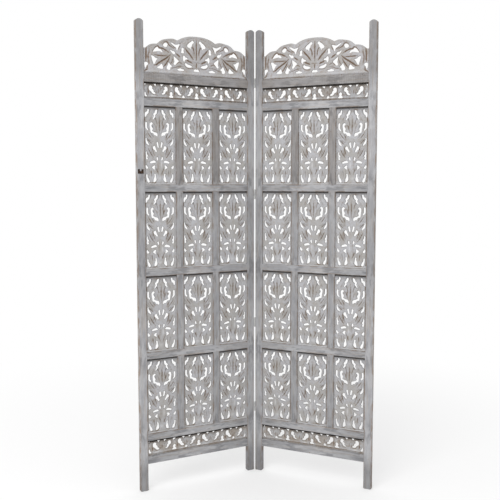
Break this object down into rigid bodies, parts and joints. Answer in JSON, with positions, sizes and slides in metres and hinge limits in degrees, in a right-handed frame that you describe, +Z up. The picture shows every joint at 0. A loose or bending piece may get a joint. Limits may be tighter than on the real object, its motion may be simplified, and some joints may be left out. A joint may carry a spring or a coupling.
{
  "type": "carved folding screen",
  "caption": "Free-standing folding screen: pierced, carved wooden leaves with scalloped crests in mortised frames, joined by butt hinges.",
  "frame": {"origin": "bottom centre of the bounding box as the screen stands, on the floor", "axes": "+Z up along the stiles; +X to the right seen from the front, across both leaves; the screen opens its V towards -Y, the front"},
  "size_m": [0.924, 0.2443, 1.829],
  "materials": {
    "washed_frame": "grey-white wash rubbed over wood, bluish and brown streaks along the grain",
    "washed_carving": "lighter grey-white wash, brown left in the carved grooves",
    "painted_hinge": "steel painted over with the frame's wash",
    "painted_screws": "countersunk steel screws painted over with the plates",
    "dark_bronze": "darkened brass, brown-black",
    "screw_steel": "darkened steel screw heads"
  },
  "bodies": {
    "left_leaf": {"catch_plate": "dark_bronze", "catch_screws": "screw_steel", "hinge_bottom_left_plate": "painted_hinge", "hinge_bottom_pin": "painted_hinge", "hinge_lower_left_plate": "painted_hinge", "hinge_lower_pin": "painted_hinge", "hinge_top_left_plate": "painted_hinge", "hinge_top_pin": "painted_hinge", "hinge_upper_left_plate": "painted_hinge", "hinge_upper_pin": "painted_hinge", "left_carved_crest": "washed_carving", "left_carved_inserts_row_1": "washed_carving", "left_carved_inserts_row_2": "washed_carving", "left_carved_inserts_row_3": "washed_carving", "left_carved_inserts_row_4": "washed_carving", "left_free_stile": "washed_frame", "left_hinge_screws": "painted_screws", "left_hinged_stile": "washed_frame", "left_leaf_bottom_rail": "washed_frame", "left_leaf_crest_rail": "washed_frame", "left_leaf_frieze_rail": "washed_frame", "left_leaf_lower_rail": "washed_frame", "left_leaf_middle_rail": "washed_frame", "left_leaf_sill_rail": "washed_frame", "left_leaf_upper_rail": "washed_frame", "left_lower_frieze": "washed_carving", "left_muntins_row_1": "washed_frame", "left_muntins_row_2": "washed_frame", "left_muntins_row_3": "washed_frame", "left_muntins_row_4": "washed_frame", "left_upper_frieze": "washed_carving"},
    "right_leaf": {"hinge_bottom_right_plate": "painted_hinge", "hinge_lower_right_plate": "painted_hinge", "hinge_top_right_plate": "painted_hinge", "hinge_upper_right_plate": "painted_hinge", "right_carved_crest": "washed_carving", "right_carved_inserts_row_1": "washed_carving", "right_carved_inserts_row_2": "washed_carving", "right_carved_inserts_row_3": "washed_carving", "right_carved_inserts_row_4": "washed_carving", "right_free_stile": "washed_frame", "right_hinge_screws": "painted_screws", "right_hinged_stile": "washed_frame", "right_leaf_bottom_rail": "washed_frame", "right_leaf_crest_rail": "washed_frame", "right_leaf_frieze_rail": "washed_frame", "right_leaf_lower_rail": "washed_frame", "right_leaf_middle_rail": "washed_frame", "right_leaf_sill_rail": "washed_frame", "right_leaf_upper_rail": "washed_frame", "right_lower_frieze": "washed_carving", "right_muntins_row_1": "washed_frame", "right_muntins_row_2": "washed_frame", "right_muntins_row_3": "washed_frame", "right_muntins_row_4": "washed_frame", "right_upper_frieze": "washed_carving"}
  },
  "joints": [
    {"name": "leaf_hinge", "type": "hinge", "parent": "left_leaf", "child": "right_leaf", "pos_m": [0, 0.10538, 0.9475], "axis": [0, 0, 1], "range_deg": [-125.8, 53.7]}
  ]
}
